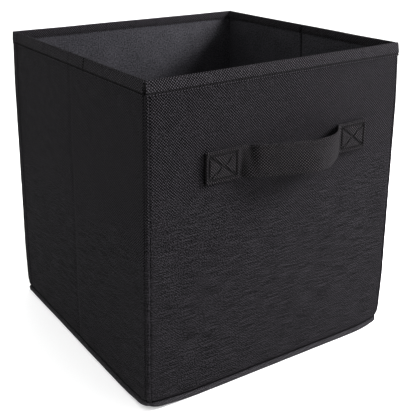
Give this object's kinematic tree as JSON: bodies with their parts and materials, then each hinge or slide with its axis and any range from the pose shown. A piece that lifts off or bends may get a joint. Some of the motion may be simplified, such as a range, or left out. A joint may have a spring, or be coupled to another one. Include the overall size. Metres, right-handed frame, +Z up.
{
  "type": "fabric storage bin",
  "caption": "Square open-topped fabric storage bin with stiffened walls that fold flat, a hemmed rim, a strap handle on the front and a loose base insert.",
  "frame": {"origin": "centre of the open bin's footprint, on the surface it stands on", "axes": "+Z up, -Y out of the front wall that has the handle, +X to the right along that wall seen from outside"},
  "size_m": [0.267, 0.292, 0.284],
  "materials": {
    "outer_cloth": "black linen-look woven cloth, matt",
    "hem_cloth": "black linen-look cloth, folded and stitched",
    "seam_cloth": "black cloth, rolled and stitched",
    "handle_cloth": "black woven strap cloth, matt",
    "lining_cloth": "black non-woven lining, matt",
    "insert_cloth": "black non-woven cloth, matt",
    "cardboard": "grey-brown stiffening board",
    "thread": "black sewing thread"
  },
  "bodies": {
    "front_wall": {"front_outer_cloth": "outer_cloth", "front_board": "cardboard", "front_lining": "lining_cloth", "front_hem": "hem_cloth", "front_left_corner_seam": "seam_cloth", "front_right_corner_seam": "seam_cloth", "bottom_seam_roll": "seam_cloth", "bottom_cloth": "lining_cloth", "handle_left_end": "handle_cloth", "handle_right_end": "handle_cloth", "handle_left_stitching": "thread", "handle_right_stitching": "thread"},
    "back_wall": {"back_outer_cloth": "outer_cloth", "back_board": "cardboard", "back_lining": "lining_cloth", "back_hem": "hem_cloth", "back_left_corner_seam": "seam_cloth", "back_right_corner_seam": "seam_cloth"},
    "handle": {"handle_strap": "handle_cloth"},
    "base_insert": {"insert_board": "cardboard", "insert_top_cloth": "insert_cloth", "insert_bottom_cloth": "insert_cloth"},
    "left_front_half": {"left_front_half_outer_cloth": "outer_cloth", "left_front_half_board": "cardboard", "left_front_half_lining": "lining_cloth", "left_front_half_hem": "hem_cloth"},
    "left_back_half": {"left_back_half_outer_cloth": "outer_cloth", "left_back_half_board": "cardboard", "left_back_half_lining": "lining_cloth", "left_back_half_hem": "hem_cloth"},
    "right_front_half": {"right_front_half_outer_cloth": "outer_cloth", "right_front_half_board": "cardboard", "right_front_half_lining": "lining_cloth", "right_front_half_hem": "hem_cloth"},
    "right_back_half": {"right_back_half_outer_cloth": "outer_cloth", "right_back_half_board": "cardboard", "right_back_half_lining": "lining_cloth", "right_back_half_hem": "hem_cloth"}
  },
  "joints": [
    {"name": "fold_flat", "type": "hinge", "parent": "front_wall", "child": "left_front_half", "pos_m": [-0.1301, -0.1292, 0], "axis": [0, 0, -1], "range_deg": [0, 88]},
    {"name": "left_wall_crease", "type": "hinge", "parent": "left_front_half", "child": "left_back_half", "pos_m": [-0.1337, 0, 0], "axis": [0, 0, 1], "range_deg": [0, 176]},
    {"name": "back_left_corner", "type": "hinge", "parent": "left_back_half", "child": "back_wall", "pos_m": [-0.1301, 0.1292, 0], "axis": [0, 0, -1], "range_deg": [0, 88]},
    {"name": "right_front_corner", "type": "hinge", "parent": "front_wall", "child": "right_front_half", "pos_m": [0.1301, -0.1292, 0], "axis": [0, 0, 1], "range_deg": [0, 88]},
    {"name": "right_wall_crease", "type": "hinge", "parent": "right_front_half", "child": "right_back_half", "pos_m": [0.1337, 0, 0], "axis": [0, 0, -1], "range_deg": [0, 176]},
    {"name": "handle_swing", "type": "hinge", "parent": "front_wall", "child": "handle", "pos_m": [0.0075, -0.1342, 0.208], "axis": [1, 0, 0], "range_deg": [-40, 40]},
    {"name": "insert_lift", "type": "slide", "parent": "front_wall", "child": "base_insert", "axis": [0, 0, 1], "range_m": [0, 0.29]}
  ],
  "couplings": [
    {"joint": "left_wall_crease", "follows": "fold_flat", "ratio": 2},
    {"joint": "back_left_corner", "follows": "fold_flat", "ratio": 1},
    {"joint": "right_front_corner", "follows": "fold_flat", "ratio": 1},
    {"joint": "right_wall_crease", "follows": "fold_flat", "ratio": 2}
  ]
}
